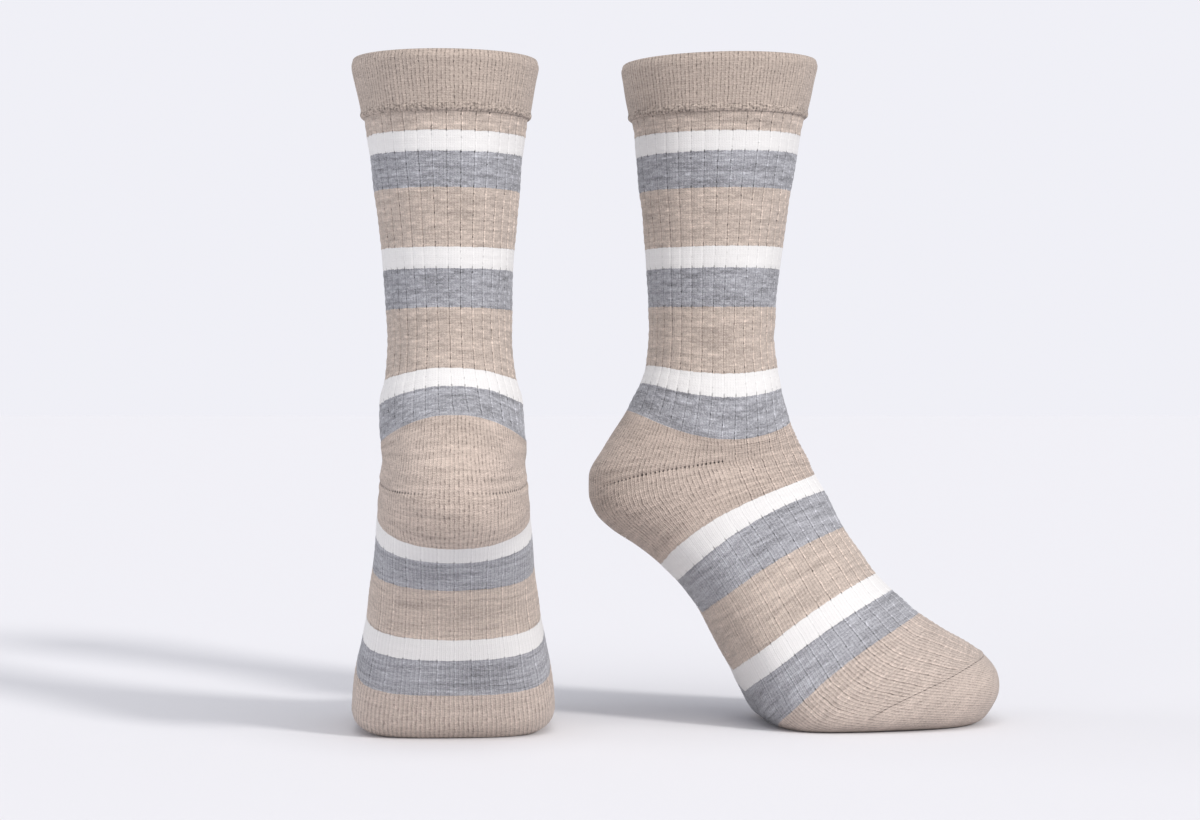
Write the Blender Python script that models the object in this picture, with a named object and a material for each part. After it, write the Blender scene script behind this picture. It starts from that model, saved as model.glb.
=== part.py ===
# A pair of ribbed crew socks, filled out and standing on their toes.
# Each sock is one knitted tube: a doubled cuff, a leg, a heel, a foot and a toe.
# Along a sock, u points to the toe, v to the side and z up, in metres.

import math
from collections import namedtuple

import bpy
from mathutils import Matrix, Vector

MM = 0.001

# Knit
RIBS = 36  # flat ribs round the tube
CUFF_RIBS = 72  # fine ribs round the cuff
RIB_CHANNEL = 0.15  # share of a rib's width taken by each side of its channel
RIB_HEIGHT = 0.8 * MM
SOLE_RIB_HEIGHT = 0.3 * MM  # ribs are pressed flatter under the foot
CUFF_RIB_HEIGHT = 0.45 * MM

# Walls, measured inwards from the form line, which runs over the flats of the ribs
LEG_WALL = 1.8 * MM
HEEL_WALL = 2.0 * MM
FOOT_WALL = 2.6 * MM
TOE_WALL = 2.6 * MM
CUFF_WALL = 2.0 * MM
CUFF_STANDS_PROUD = 0.7 * MM  # the doubled cuff lies over the leg's outer face
CUFF_FOLD = 1.6 * MM  # height of the rounded fold along the rim
SEAM_GAP = 0.3 * MM

# Where the pair stands. Turn is the direction that the toe points in, from +X.
# Pull lengthens the leg above the heel, and lean is how far it carries the rim
# sideways. Heel slip draws the foot's rings up the sole towards the heel. Rise
# share scales how far the foot's rings bow.
Sock = namedtuple("Sock", "name x y turn pull lean heel_slip rise_share")
SOCKS = (
    Sock("left", -0.0697, -0.0800, 93.7, 0.955, 0.0035, 0.0240, 0.4),
    Sock("right", 0.0572, 0.0000, 9.0, 1.010, 0.0, 0.0, 1.0),
)
LEG_FROM = 0.158  # height of the heel's top, where pull and lean begin

# Sections of the form line, in millimetres, from the rim to the tip of the toe.
# back and front: the section's ends on the back or sole and on the front or instep.
# half: half its width. keel: where along it the widest place is, from the sole.
# square: 2 is round, more is a flatter sole. rise: how far its sides ride up.
# slip: the share of the sock's heel slip that its back end takes.
Section = namedtuple("Section", "name back_u back_z front_u front_z half keel square rise slip")
SECTIONS = [
    Section(*row)
    for row in (
        ("rim", -46.2, 332.5, 54.0, 335.3, 44.5, 0.50, 2.0, 0.0, 0.0),
        ("cuff_end", -41.4, 306.4, 47.5, 308.0, 39.4, 0.50, 2.0, 0.0, 0.0),
        ("calf", -37.4, 271.2, 40.8, 272.4, 35.0, 0.50, 2.0, 0.0, 0.0),
        ("shin", -34.5, 242.6, 36.6, 243.8, 32.1, 0.50, 2.0, 0.0, 0.0),
        ("ankle_top", -32.7, 213.3, 32.8, 213.6, 30.1, 0.50, 2.0, -0.5, 0.0),
        ("ankle", -32.7, 198.7, 32.3, 198.7, 29.8, 0.50, 2.0, -2.0, 0.0),
        ("ankle_end", -33.9, 183.7, 33.3, 182.9, 31.3, 0.50, 2.0, -5.6, 0.0),
        ("heel_over", -36.7, 174.9, 35.5, 172.8, 33.9, 0.50, 2.0, -8.0, 0.0),
        ("heel_top", -44.0, 160.1, 40.3, 154.6, 34.6, 0.50, 2.0, -12.0, 0.0),
        ("heel_high", -55.6, 141.9, 43.0, 148.8, 34.2, 0.50, 2.0, -7.0, 0.10),
        ("heel_back", -63.3, 126.7, 45.5, 143.5, 33.8, 0.50, 2.0, -3.0, 0.25),
        ("gore", -63.4, 118.2, 47.5, 139.5, 34.2, 0.49, 2.0, 0.0, 0.35),
        ("heel_low", -59.9, 108.1, 49.3, 135.8, 34.8, 0.47, 2.1, 2.0, 0.50),
        ("heel_under", -52.2, 100.4, 50.8, 132.8, 35.2, 0.45, 2.1, 3.5, 0.65),
        ("heel_sole", -39.3, 92.0, 52.0, 130.4, 35.8, 0.42, 2.2, 5.0, 0.85),
        ("foot_top", -26.8, 82.2, 53.3, 127.8, 36.1, 0.40, 2.3, 5.6, 1.0),
        ("arch", -5.5, 57.8, 68.2, 100.7, 39.0, 0.38, 2.5, 1.0, 1.0),
        ("instep", 4.4, 39.7, 77.5, 87.5, 41.0, 0.37, 2.6, 0.5, 1.0),
        ("ball_back", 17.0, 16.9, 94.3, 68.0, 45.0, 0.35, 2.8, 0.0, 1.0),
        ("tread", 24.5, 4.5, 102.0, 61.0, 47.2, 0.34, 2.9, 0.0, 1.1),
        ("toe_top", 38.6, -2.5, 110.3, 54.6, 49.1, 0.34, 3.1, 0.0, 1.2),
        ("ball_side", 50.0, -3.0, 116.5, 51.0, 50.3, 0.34, 3.2, 0.0, 1.1),
        ("sole_flat", 58.0, -3.0, 120.2, 48.7, 50.7, 0.34, 3.2, 0.0, 0.97),
        ("ball", 66.0, -3.0, 124.0, 46.3, 50.8, 0.34, 3.2, 0.0, 0.8),
        ("toes", 86.0, -3.0, 133.0, 41.5, 49.3, 0.36, 3.1, 0.0, 0.45),
        ("toe_nails", 106.0, -3.0, 141.5, 36.4, 45.2, 0.40, 2.9, 0.0, 0.2),
        ("toe_end", 122.0, -2.6, 147.3, 31.0, 38.0, 0.44, 2.6, 0.0, 0.1),
        ("tip_back", 133.5, -1.6, 150.3, 25.6, 28.5, 0.48, 2.4, 0.0, 0.0),
        ("tip", 141.6, 0.6, 151.4, 19.4, 16.0, 0.50, 2.2, 0.0, 0.0),
    )
]
TIP_U = 149.2 * MM  # the toe closes to this point
TIP_Z = 8.6 * MM

RING_STEPS = 180  # how finely half a ring is stepped through before it is spaced evenly

# Colour, roughness and metallic value of each sub-part
FINISHES = {
    "cuff": ((0.448, 0.380, 0.330), 0.88, 0.0),
    "leg": ((0.521, 0.434, 0.376), 0.90, 0.0),
    "heel": ((0.539, 0.445, 0.386), 0.92, 0.0),
    "foot": ((0.386, 0.386, 0.402), 0.90, 0.0),
    "toe": ((0.539, 0.445, 0.386), 0.92, 0.0),
}


def clear_scene():
    for thing in list(bpy.data.objects):
        bpy.data.objects.remove(thing, do_unlink=True)


def finish_for(part, name):
    """A Principled BSDF in the sub-part's own yarn colour."""
    colour, roughness, metallic = FINISHES[part]
    material = bpy.data.materials.new(name + "_knit")
    material.use_nodes = True
    shader = material.node_tree.nodes["Principled BSDF"]
    shader.inputs["Base Color"].default_value = (*colour, 1.0)
    shader.inputs["Roughness"].default_value = roughness
    shader.inputs["Metallic"].default_value = metallic
    return material


def slide_back(line, at, along):
    """The point that lies a given distance back along a line of points from one of them."""
    while at > 0 and along > 0:
        span = (line[at] - line[at - 1]).length
        if along < span:
            return line[at].lerp(line[at - 1], along / span)
        along -= span
        at -= 1
    return line[at]


def section_ends(sock):
    """Each section's back and front ends in the sock's middle plane, as (u, z) vectors."""
    back_line = [Vector((row.back_u, row.back_z)) * MM for row in SECTIONS]
    ends = []
    for at, row in enumerate(SECTIONS):
        back = slide_back(back_line, at, row.slip * sock.heel_slip)
        front = Vector((row.front_u, row.front_z)) * MM
        ends.append([pulled(back, sock), pulled(front, sock)])
    return ends


def pulled(point, sock):
    """Moves a point of the leg up or down as the sock is pulled."""
    above = max(point.y - LEG_FROM, 0.0)
    return Vector((point.x, point.y + above * (sock.pull - 1.0)))


def ring_outline(row, back, front, rise):
    """Half a section from its back end round to its front end, finely stepped."""
    along = front - back
    length = along.length
    along = along / length
    upward = Vector((-along.y, along.x))
    widest = row.keel * length
    points = []
    for step in range(RING_STEPS + 1):
        angle = math.pi * step / RING_STEPS
        bend = row.square if angle < math.pi / 2 else 2.0
        reach = widest if angle < math.pi / 2 else length - widest
        run = -math.copysign(abs(math.cos(angle)) ** (2.0 / bend), math.cos(angle)) * reach
        side = abs(math.sin(angle)) ** (2.0 / bend)
        middle = back + along * (widest + run) + upward * (rise * side * side)
        points.append(Vector((middle.x, side * row.half * MM, middle.y)))
    return points


def even_point(outline, lengths, turn):
    """The outline's point at a share of the way round, from the back: 0.5 is the front."""
    turn = turn % 1.0
    mirrored = turn > 0.5
    target = (1.0 - turn if mirrored else turn) * 2.0 * lengths[-1]
    at = 1
    while at < len(lengths) - 1 and lengths[at] < target:
        at += 1
    share = (target - lengths[at - 1]) / (lengths[at] - lengths[at - 1])
    point = outline[at - 1].lerp(outline[at], share)
    return Vector((point.x, -point.y, point.z)) if mirrored else point


Ring = namedtuple("Ring", "outline lengths facing aside")


def form_rings(sock):
    """The form line's ring at each section, with the direction that its plane faces."""
    rings = []
    for row, (back, front) in zip(SECTIONS, section_ends(sock)):
        bow = sock.rise_share if row.slip > 0 else 1.0
        outline = ring_outline(row, back, front, row.rise * bow * MM)
        lengths = [0.0]
        for first, second in zip(outline, outline[1:]):
            lengths.append(lengths[-1] + (second - first).length)
        along = front - back
        facing = Vector((-along.y, 0.0, along.x)).normalized()
        rise = max((back.y + front.y) / 2 - LEG_FROM, 0.0)
        aside = sock.lean * rise / (SECTIONS[0].back_z * MM - LEG_FROM)
        rings.append(Ring(outline, lengths, facing, Vector((0.0, aside, 0.0))))
    return rings


def place_on(rings, at, turn):
    return even_point(rings[at].outline, rings[at].lengths, turn) + rings[at].aside


def outward(rings, at, turn):
    """The direction out of the sock's surface at a section and turn."""
    step = 0.5 / RIBS
    across = place_on(rings, at, turn + step) - place_on(rings, at, turn - step)
    above = place_on(rings, max(at - 1, 0), turn)
    below = place_on(rings, min(at + 1, len(rings) - 1), turn)
    return (above - below).cross(across).normalized()


def towards_sole(turn):
    """1 under the sole or at the back, 0 over the instep, easing between them."""
    share = 0.5 + 0.5 * math.cos(2.0 * math.pi * turn)
    return share * share * (3.0 - 2.0 * share)


def rib_turns(ribs, ribbed):
    """Turns of the outer points for each rib: channel and two flat edges, or one plain point."""
    groups = []
    for rib in range(ribs):
        middle = (rib + 0.5) / ribs
        offsets = (0.0, RIB_CHANNEL, 1.0 - RIB_CHANNEL) if ribbed(middle) else (0.0,)
        groups.append([(rib + offset) / ribs for offset in offsets])
    return groups


def is_channel(turn, ribs):
    place = (turn * ribs) % 1.0
    return min(place, 1.0 - place) < 0.01


def resting(point, lowest):
    """Keeps a point on or above the height where the floor presses the cloth flat."""
    return Vector((point.x, point.y, max(point.z, lowest)))


def cleared(point, run, facing):
    """Moves a seam's point along its run to the next section, half a seam gap off its plane."""
    return point + run * (SEAM_GAP / 2 / abs(run.dot(facing)))


def shell_rings(rings, first, last, turns, lift, lowest):
    """Rings of points between two sections, each lifted off the form line.

    The first and last rings stop half a seam gap short of their neighbours.
    """
    result = []
    for at in range(first, last + 1):
        ring = []
        for turn in turns:
            form = place_on(rings, at, turn)
            point = resting(form + outward(rings, at, turn) * lift(at, turn), lowest)
            if at == first and first > 0:
                point = cleared(point, place_on(rings, at + 1, turn) - form, rings[at].facing)
            if at == last and last < len(rings) - 1:
                point = cleared(point, place_on(rings, at - 1, turn) - form, rings[at].facing)
            ring.append(resting(point, lowest))
        result.append(ring)
    return result


def closed_shell(name, outer_rings, outer_groups, inner_rings, tips=None):
    """One solid wall between outer and inner rings. Tips are the outer and inner end points."""
    points = []
    faces = []

    def add_rings(rings):
        start = []
        for ring in rings:
            start.append(len(points))
            points.extend(ring)
        return start

    outer_start = add_rings(outer_rings)
    inner_start = add_rings(inner_rings)
    outer_count = len(outer_rings[0])
    inner_count = len(inner_rings[0])

    def skin(starts, count, inside):
        for upper, lower in zip(starts, starts[1:]):
            for at in range(count):
                beside = (at + 1) % count
                face = (upper + at, upper + beside, lower + beside, lower + at)
                faces.append(face[::-1] if inside else face)

    skin(outer_start, outer_count, False)
    skin(inner_start, inner_count, True)

    def edge(outer, inner, at_top):
        at = 0
        for rib, group in enumerate(outer_groups):
            beside = (rib + 1) % inner_count
            face = [outer + (at + step) % outer_count for step in range(len(group) + 1)]
            face += [inner + beside, inner + rib]
            faces.append(tuple(reversed(face)) if at_top else tuple(face))
            at += len(group)

    edge(outer_start[0], inner_start[0], True)
    if tips is None:
        edge(outer_start[-1], inner_start[-1], False)
    else:
        for start, count, tip, inside in (
            (outer_start[-1], outer_count, tips[0], False),
            (inner_start[-1], inner_count, tips[1], True),
        ):
            end = len(points)
            points.append(tip)
            for at in range(count):
                face = (start + at, start + (at + 1) % count, end)
                faces.append(face[::-1] if inside else face)

    mesh = bpy.data.meshes.new(name)
    mesh.from_pydata([tuple(point) for point in points], [], faces)
    mesh.update()
    mesh.shade_smooth()
    mesh.set_sharp_from_angle(angle=math.radians(38))
    return mesh


def section_at(name):
    return [row.name for row in SECTIONS].index(name)


def rib_lift(height_at):
    """Leaves the flat of each rib on the form line and sinks its channels below it."""
    return lambda at, turn: -height_at(at, turn) if is_channel(turn, RIBS) else 0.0


def flat_list(groups):
    return [turn for group in groups for turn in group]


def tube_mesh(name, rings, first, last, ribbed, height_at, wall, tips=None):
    """A ribbed length of the tube, plain inside."""
    groups = rib_turns(RIBS, ribbed)
    inner_turns = [rib / RIBS for rib in range(RIBS)]
    outer = shell_rings(rings, first, last, flat_list(groups), rib_lift(height_at), 0.0)
    inner = shell_rings(rings, first, last, inner_turns, lambda at, turn: -wall, wall)
    return closed_shell(name, outer, groups, inner, tips)


def make_leg(name, rings):
    first = section_at("cuff_end")
    last = section_at("heel_top")
    return tube_mesh(name, rings, first, last, lambda turn: True, lambda at, turn: RIB_HEIGHT, LEG_WALL)


def over_instep(turn):
    return 0.25 < turn < 0.75


def make_heel(name, rings):
    """The heel is plain behind and under, and ribbed over the instep."""
    first = section_at("heel_top")
    last = section_at("foot_top")
    return tube_mesh(name, rings, first, last, over_instep, lambda at, turn: RIB_HEIGHT, HEEL_WALL)


def make_foot(name, rings):
    def height(at, turn):
        under = towards_sole(turn)
        return RIB_HEIGHT + (SOLE_RIB_HEIGHT - RIB_HEIGHT) * under

    first = section_at("foot_top")
    last = section_at("toe_top")
    return tube_mesh(name, rings, first, last, lambda turn: True, height, FOOT_WALL)


def make_toe(name, rings):
    """The toe is a plain pocket, closed at its tip, with ribs that run out over the toes."""
    first = section_at("toe_top")
    last = section_at("tip")
    ribs_end = section_at("toe_end")

    def height(at, turn):
        return RIB_HEIGHT * max(ribs_end - at, 0) / (ribs_end - first)

    outer_tip = Vector((TIP_U, 0.0, TIP_Z))
    inner_tip = Vector((TIP_U - TOE_WALL, 0.0, TIP_Z + TOE_WALL / 4))
    return tube_mesh(name, rings, first, last, over_instep, height, TOE_WALL, (outer_tip, inner_tip))


def make_cuff(name, rings):
    """The cuff is folded double, so it is thicker than the leg and round along its rim."""
    first = section_at("rim")
    last = section_at("cuff_end")
    per_rib = CUFF_RIBS // RIBS * 2
    groups = [[(rib + step / per_rib) / RIBS for step in range(per_rib)] for rib in range(RIBS)]
    inner_turns = [rib / RIBS for rib in range(RIBS)]

    def outer_lift(at, turn):
        channel = round(turn * CUFF_RIBS * 2 + 1) % 2
        return CUFF_STANDS_PROUD - CUFF_RIB_HEIGHT * channel

    outer = shell_rings(rings, first, last, flat_list(groups), outer_lift, 0.0)
    inner = shell_rings(rings, first, last, inner_turns, lambda at, turn: -CUFF_WALL, 0.0)
    # The fold: the rim's ring is repeated a little higher and drawn in on both faces.
    for walls, turns, lift in ((outer, flat_list(groups), 0.0), (inner, inner_turns, -CUFF_WALL / 2)):
        fold = []
        for turn in turns:
            point = place_on(rings, first, turn) + outward(rings, first, turn) * lift
            fold.append(point + Vector((0.0, 0.0, CUFF_FOLD)))
        walls.insert(0, fold)
    return closed_shell(name, outer, groups, inner)


MAKERS = {
    "cuff": make_cuff,
    "leg": make_leg,
    "heel": make_heel,
    "foot": make_foot,
    "toe": make_toe,
}


def add_object(name, data, collection, parent):
    thing = bpy.data.objects.new(name, data)
    collection.objects.link(thing)
    thing.parent = parent
    return thing


def build_sock(sock, collection, pair):
    holder = add_object(sock.name + "_sock", None, collection, pair)
    holder.location = (sock.x, sock.y, 0.0)
    holder.rotation_euler = (0.0, 0.0, math.radians(sock.turn))
    rings = form_rings(sock)
    turned = Matrix.LocRotScale(holder.location, holder.rotation_euler, None)
    corners = []
    for part, make in MAKERS.items():
        name = sock.name + "_" + part
        mesh = make(name, rings)
        mesh.materials.append(finish_for(part, name))
        add_object(name, mesh, collection, holder)
        corners += [turned @ vertex.co for vertex in mesh.vertices]
    return corners


def main():
    clear_scene()
    collection = bpy.data.collections.new("pair_of_socks")
    bpy.context.scene.collection.children.link(collection)
    pair = add_object("pair", None, collection, None)
    points = []
    for sock in SOCKS:
        points += build_sock(sock, collection, pair)
    # The origin is on the floor, under the middle of the pair.
    middle = [(min(p[axis] for p in points) + max(p[axis] for p in points)) / 2 for axis in (0, 1)]
    pair.location = (-middle[0], -middle[1], 0.0)
    bpy.context.view_layer.update()


main()
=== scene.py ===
# A pair of striped ribbed crew socks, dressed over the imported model.
import math

import bpy
import numpy as np
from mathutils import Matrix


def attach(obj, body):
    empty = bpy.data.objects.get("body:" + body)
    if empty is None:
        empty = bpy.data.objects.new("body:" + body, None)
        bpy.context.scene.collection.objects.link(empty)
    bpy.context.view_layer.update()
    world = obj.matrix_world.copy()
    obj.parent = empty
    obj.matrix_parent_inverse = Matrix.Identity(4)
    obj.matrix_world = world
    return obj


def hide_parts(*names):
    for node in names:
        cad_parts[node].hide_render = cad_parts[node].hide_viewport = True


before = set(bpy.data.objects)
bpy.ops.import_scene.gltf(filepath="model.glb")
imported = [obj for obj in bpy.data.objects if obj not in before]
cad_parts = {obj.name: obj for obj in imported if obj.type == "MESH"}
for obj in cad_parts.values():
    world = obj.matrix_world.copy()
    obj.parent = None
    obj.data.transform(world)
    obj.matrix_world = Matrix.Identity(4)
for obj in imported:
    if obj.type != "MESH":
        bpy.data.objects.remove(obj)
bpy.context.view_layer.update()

mm = 0.001
print("frame loaded:", len(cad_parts), "nodes")


cameraSetup = {
    "place": (-0.04119, -1.16936, 0.164),  # level with the middle of the socks
    "lens": 70.8,
    "sensor": 36.0,
    "shift": -7 / 1200,  # the horizon sits a little above the middle of the frame
}


def putObject(name, data):
    made = bpy.data.objects.new(name, data)
    bpy.context.scene.collection.objects.link(made)
    return made


def setCamera(setup):
    data = bpy.data.cameras.new("camera")
    data.lens = setup["lens"]
    data.sensor_width = setup["sensor"]
    data.shift_y = setup["shift"]
    data.clip_end = 50.0
    camera = putObject("camera", data)
    camera.location = setup["place"]
    camera.rotation_euler = (math.radians(90), 0.0, 0.0)
    bpy.context.scene.camera = camera


setCamera(cameraSetup)
bpy.context.scene.view_settings.view_transform = "Standard"
print("camera set")


# Turn is the direction of the toe from +X. Pull lengthens the leg and lean carries it sideways.
# Heel slip draws the foot's rings up the sole, and bow scales how far those rings ride up at the sides.
# Courses: how far a line of knitting lies below its row, all round and at the sides, in millimetres.
pair = {
    "left": {
        "at": (-0.11089, -0.04436), "turn": 93.7, "pull": 0.955, "lean": 4.1, "heelSlip": 24.0, "bow": 0.4,
        "courses": {
            "rim": (0.0, 0.0), "cuffMid": (0.8, 0.0), "cuffEnd": (1.5, 0.0), "white1": (2.1, 0.0),
            "beige2": (1.7, 0.0), "beige3": (1.8, 0.0), "white3": (1.4, -0.8), "grey3": (1.6, -1.2),
            "heelTop": (1.6, -1.4), "heelBack": (2.6, 2.5), "gore": (3.0, 5.0), "heelLow": (2.2, 4.0),
            "heelSole": (-0.5, 1.5), "footTop": (-2.0, 0.0), "grey4": (-1.2, 0.0), "beige5": (-0.3, -0.8),
            "white5": (-2.8, -1.0), "grey5": (-3.3, -1.0), "toeTop": (-7.4, 0.0), "ball": (-6.0, 0.0),
            "toes": (-3.0, 0.0), "toeEnd": (0.0, 0.0),
        },
    },
    "right": {
        "at": (0.01601, 0.03564), "turn": 9.0, "pull": 1.010, "lean": 0.0, "heelSlip": 0.0, "bow": 1.0,
        "courses": {
            "rim": (0.0, 0.0), "cuffEnd": (0.4, 0.0), "white1": (0.9, 0.0), "beige3": (0.6, 0.2),
            "white3": (0.0, -1.6), "grey3": (0.0, -2.0), "heelTop": (0.0, -0.8), "heelHigh": (0.0, -4.5),
            "heelBack": (0.5, -9.0), "gore": (1.0, -11.0), "heelLow": (0.8, -10.0),
            "heelUnder": (0.5, -7.6), "heelSole": (0.0, -6.0), "footTop": (-0.5, -5.4),
            "grey4": (-0.5, -5.6), "beige5": (0.0, -7.8), "white5": (0.0, -10.2), "grey5": (0.0, -11.0),
            "toeTop": (-1.5, -16.0), "ball": (-1.0, -12.0), "toes": (0.0, -6.0),
            "toeNails": (0.0, -2.0), "toeEnd": (0.0, 0.0),
        },
    },
}

# Rows down the sock in millimetres: back and front ends, half width, where the widest place is,
# how square the sole is, how far the sides ride up, and the row's share of the heel slip.
sockRows = {
    "rim": (-46.2, 332.5, 54.0, 335.3, 44.5, 0.50, 2.0, 0.0, 0.0),
    "cuffMid": (-43.8, 319.5, 50.8, 321.7, 41.8, 0.50, 2.0, 0.0, 0.0),
    "cuffEnd": (-41.4, 306.4, 47.5, 308.0, 39.4, 0.50, 2.0, 0.0, 0.0),
    "white1": (-39.8, 298.6, 45.6, 299.8, 37.9, 0.50, 2.0, 0.0, 0.0),
    "grey1": (-39.0, 288.4, 44.0, 290.4, 36.9, 0.50, 2.0, 0.0, 0.0),
    "beige2": (-37.4, 271.2, 40.8, 272.4, 35.0, 0.50, 2.0, 0.0, 0.0),
    "calf": (-35.9, 256.9, 38.6, 258.0, 33.4, 0.50, 2.0, 0.0, 0.0),
    "white2": (-34.5, 242.6, 36.6, 243.8, 32.1, 0.50, 2.0, 0.0, 0.0),
    "grey2": (-33.9, 232.3, 34.9, 232.9, 31.3, 0.50, 2.0, 0.0, 0.0),
    "beige3": (-32.7, 213.3, 32.8, 213.6, 30.1, 0.50, 2.0, -0.5, 0.0),
    "ankle": (-32.7, 198.7, 32.3, 198.7, 29.8, 0.50, 2.0, -2.0, 0.0),
    "white3": (-33.9, 183.7, 33.3, 182.9, 31.3, 0.50, 2.0, -5.6, 0.0),
    "grey3": (-36.7, 174.9, 35.5, 172.8, 33.9, 0.50, 2.0, -8.0, 0.0),
    "heelTop": (-44.0, 160.1, 40.3, 154.6, 34.6, 0.50, 2.0, -12.0, 0.0),
    "heelHigh": (-55.6, 141.9, 43.0, 148.8, 34.2, 0.50, 2.0, -7.0, 0.10),
    "heelBack": (-63.3, 126.7, 45.5, 143.5, 33.8, 0.50, 2.0, -3.0, 0.25),
    "gore": (-63.4, 118.2, 47.5, 139.5, 34.2, 0.49, 2.0, 0.0, 0.35),
    "heelLow": (-59.9, 108.1, 49.3, 135.8, 34.8, 0.47, 2.1, 2.0, 0.50),
    "heelUnder": (-52.2, 100.4, 50.8, 132.8, 35.2, 0.45, 2.1, 3.5, 0.65),
    "heelSole": (-39.3, 92.0, 52.0, 130.4, 35.8, 0.42, 2.2, 5.0, 0.85),
    "footTop": (-26.8, 82.2, 53.3, 127.8, 36.1, 0.40, 2.3, 5.6, 1.0),
    "grey4": (-18.4, 74.0, 58.2, 119.2, 37.2, 0.39, 2.4, 4.5, 1.0),
    "beige5": (-5.5, 57.8, 68.2, 100.7, 39.0, 0.38, 2.5, 1.0, 1.0),
    "instep": (4.4, 39.7, 77.5, 87.5, 41.0, 0.37, 2.6, 0.5, 1.0),
    "white5": (11.1, 27.9, 85.6, 76.1, 42.9, 0.36, 2.7, 0.2, 1.0),
    "grey5": (17.0, 16.9, 94.3, 68.0, 45.0, 0.35, 2.8, 0.0, 1.0),
    "tread": (24.5, 4.5, 102.0, 61.0, 47.2, 0.34, 2.9, 0.0, 1.1),
    "toeTop": (38.6, -2.5, 110.3, 54.6, 49.1, 0.34, 3.1, 0.0, 1.2),
    "ballSide": (50.0, -3.0, 116.5, 51.0, 50.3, 0.34, 3.2, 0.0, 1.1),
    "soleFlat": (58.0, -3.0, 120.2, 48.7, 50.7, 0.34, 3.2, 0.0, 0.97),
    "ball": (66.0, -3.0, 124.0, 46.3, 50.8, 0.34, 3.2, 0.0, 0.8),
    "toes": (86.0, -3.0, 132.2, 41.5, 49.3, 0.36, 3.1, 0.0, 0.45),
    "toeNails": (106.0, -3.0, 140.2, 36.4, 45.2, 0.40, 2.9, 0.0, 0.2),
    "toeEnd": (122.0, -2.6, 145.4, 31.0, 38.0, 0.44, 2.6, 0.0, 0.1),
    "tipBack": (132.6, -1.6, 148.0, 25.6, 28.5, 0.48, 2.4, 0.0, 0.0),
    "tip": (139.8, 0.6, 149.0, 19.4, 16.0, 0.50, 2.2, 0.0, 0.0),
}
tipPoint = (146.8, 0.0, 8.6)  # where the toe closes
legFrom = 158.0  # height where pull and lean begin
fullSlip = 0.25  # share of the heel slip from which the bow counts in full
outlineSteps = 180  # steps in half a ring
ringSpacing = 0.6  # millimetres between the rings that others are read from

rowTable = np.array(list(sockRows.values()))
backSteps, frontSteps = (np.hypot(*np.diff(rowTable[:, at:at + 2], axis=0).T) for at in (0, 2))
rowStations = np.concatenate([[0.0], np.cumsum((backSteps + frontSteps) / 2)])


def stationOf(name):  # how far down the sock a row lies, in millimetres from the rim
    return rowStations[list(sockRows).index(name)]


def easedRows(stations, bow=1.0):  # the rows' values in between, on smooth curves that never overshoot
    x, y = rowStations, rowTable.copy()
    y[:, 7] *= 1.0 - (1.0 - bow) * np.minimum(y[:, 8] / fullSlip, 1.0)
    width = np.diff(x)
    slope = np.diff(y, axis=0) / width[:, None]
    tangent = np.zeros_like(y)
    before, after = slope[:-1], slope[1:]
    same = before * after > 0
    both = np.where(same, before + after, 1.0)
    tangent[1:-1] = np.where(same, 2.0 * before * after / both, 0.0)
    tangent[0], tangent[-1] = slope[0], slope[-1]
    at = np.clip(np.searchsorted(x, stations, side="right") - 1, 0, len(width) - 1)
    t = ((stations - x[at]) / width[at])[:, None]
    span = width[at][:, None]
    return (
        (2 * t**3 - 3 * t**2 + 1) * y[at]
        + (t**3 - 2 * t**2 + t) * span * tangent[at]
        + (3 * t**2 - 2 * t**3) * y[at + 1]
        + (t**3 - t**2) * span * tangent[at + 1]
    )


backStations = np.linspace(0.0, rowStations[-1], 900)
backLine = easedRows(backStations)[:, 0:2]
backRun = np.concatenate([[0.0], np.cumsum(np.hypot(*np.diff(backLine, axis=0).T))])


def halfOutline(sock, row, slid):  # half a ring, from the back or sole to the front
    angles = np.linspace(0.0, math.pi, outlineSteps + 1)
    cosine, sine = np.cos(angles), np.abs(np.sin(angles))
    soleHalf = angles < math.pi / 2
    back = np.array([np.interp(slid, backRun, backLine[:, k]) for k in (0, 1)])
    front = row[2:4].copy()
    for end in (back, front):
        end[1] += max(end[1] - legFrom, 0.0) * (sock["pull"] - 1.0)
    length = np.hypot(*(front - back))
    along = (front - back) / length
    upward = np.array([-along[1], along[0]])
    widest = row[5] * length
    bend = np.where(soleHalf, row[6], 2.0)
    reach = np.where(soleHalf, widest, length - widest)
    run = -np.sign(cosine) * np.abs(cosine) ** (2.0 / bend) * reach
    side = sine ** (2.0 / bend)
    middle = back + np.outer(widest + run, along) + np.outer(row[7] * side**2, upward)
    outline = np.stack([middle[:, 0], side * row[4], middle[:, 1]], axis=1)
    steps = np.linalg.norm(np.diff(outline, axis=0), axis=1)
    height = max((back[1] + front[1]) / 2 - legFrom, 0.0) / (rowTable[0, 1] - legFrom)
    return outline, np.concatenate([[0.0], np.cumsum(steps)]), sock["lean"] * height**0.5


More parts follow.
